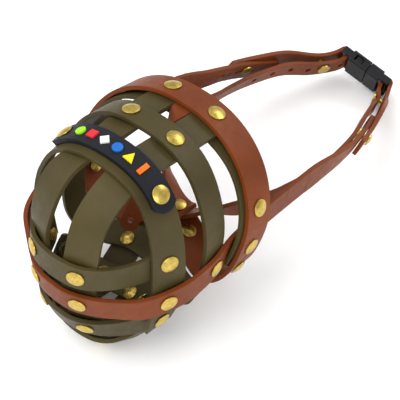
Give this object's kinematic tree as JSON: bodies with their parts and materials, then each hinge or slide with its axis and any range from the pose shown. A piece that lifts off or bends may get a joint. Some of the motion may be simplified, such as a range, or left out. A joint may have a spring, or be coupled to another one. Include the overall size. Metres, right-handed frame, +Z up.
{
  "type": "basket muzzle",
  "caption": "Dog basket muzzle of riveted flat straps: round basket, padded rear ring, name plate, throat and cheek straps, and an adjustable neck loop with a side-release buckle.",
  "frame": {"origin": "centre of the snout opening, in the middle of the rear ring", "axes": "+Z up as the muzzle lies on its chin band and its buckle, nose pitched up 15 degrees; -Y to the nose, +Y to the neck loop; +X is the left side of the dog"},
  "size_m": [0.1278, 0.298, 0.1366],
  "materials": {
    "olive_webbing": "satin coated webbing",
    "brown_webbing": "satin coated webbing",
    "brass": "lightly brushed dome",
    "black_rubber": "matte moulded",
    "black_plastic": "moulded",
    "pip_green": "matte moulded",
    "pip_red": "matte moulded",
    "pip_white": "matte moulded",
    "pip_blue": "matte moulded",
    "pip_yellow": "matte moulded",
    "pip_orange": "matte moulded"
  },
  "bodies": {
    "basket": {"cheek_strap": "brown_webbing", "chin_band": "olive_webbing", "chin_rivets": "brass", "chin_rivets_inner_caps": "brass", "floor_cross_strap": "olive_webbing", "floor_rivets": "brass", "floor_rivets_inner_caps": "brass", "forehead_strap": "brown_webbing", "front_hoop": "olive_webbing", "hoop_rivets": "brass", "hoop_rivets_inner_caps": "brass", "left_lengthwise_strap": "olive_webbing", "left_throat_strap": "brown_webbing", "lower_nose_band": "olive_webbing", "middle_hoop": "olive_webbing", "name_plate": "black_rubber", "nose_rivets": "brass", "nose_rivets_inner_caps": "brass", "pip_blue": "pip_blue", "pip_green": "pip_green", "pip_orange": "pip_orange", "pip_red": "pip_red", "pip_white": "pip_white", "pip_yellow": "pip_yellow", "plate_rivets": "brass", "plate_rivets_inner_caps": "brass", "rear_ring": "brown_webbing", "right_lengthwise_strap": "olive_webbing", "right_throat_strap": "brown_webbing", "ring_liner": "olive_webbing", "ring_rivets": "brass", "ring_rivets_inner_caps": "brass", "side_rivets": "brass", "side_rivets_inner_caps": "brass", "throat_rivets": "brass", "throat_rivets_inner_caps": "brass", "upper_nose_band": "olive_webbing"},
    "neck_loop": {"buckle_plug": "black_plastic", "buckle_socket": "black_plastic", "left_cheek_tail": "brown_webbing", "left_neck_strap": "brown_webbing", "left_strap_studs": "brass", "left_stud_nuts": "brass", "right_cheek_tail": "brown_webbing", "right_neck_strap": "brown_webbing", "right_strap_studs": "brass", "right_stud_nuts": "brass"},
    "upper_prong": {"upper_prong": "black_plastic"},
    "lower_prong": {"lower_prong": "black_plastic"}
  },
  "joints": [
    {"name": "neck_loop_swing", "type": "hinge", "parent": "basket", "child": "neck_loop", "pos_m": [0, 0.05625, -0.01611], "axis": [1, 0, 0], "range_deg": [-20, 30]},
    {"name": "upper_prong_press", "type": "hinge", "parent": "neck_loop", "child": "upper_prong", "pos_m": [0.00592, 0.18806, -0.04794], "axis": [0, -0.9659, -0.2588], "range_deg": [0, 10], "stiffness_Nm_per_rad": 0.5},
    {"name": "lower_prong_press", "type": "hinge", "parent": "neck_loop", "child": "lower_prong", "pos_m": [0.0034, 0.19067, -0.05769], "axis": [0, 0.9659, 0.2588], "range_deg": [0, 10], "stiffness_Nm_per_rad": 0.5}
  ]
}
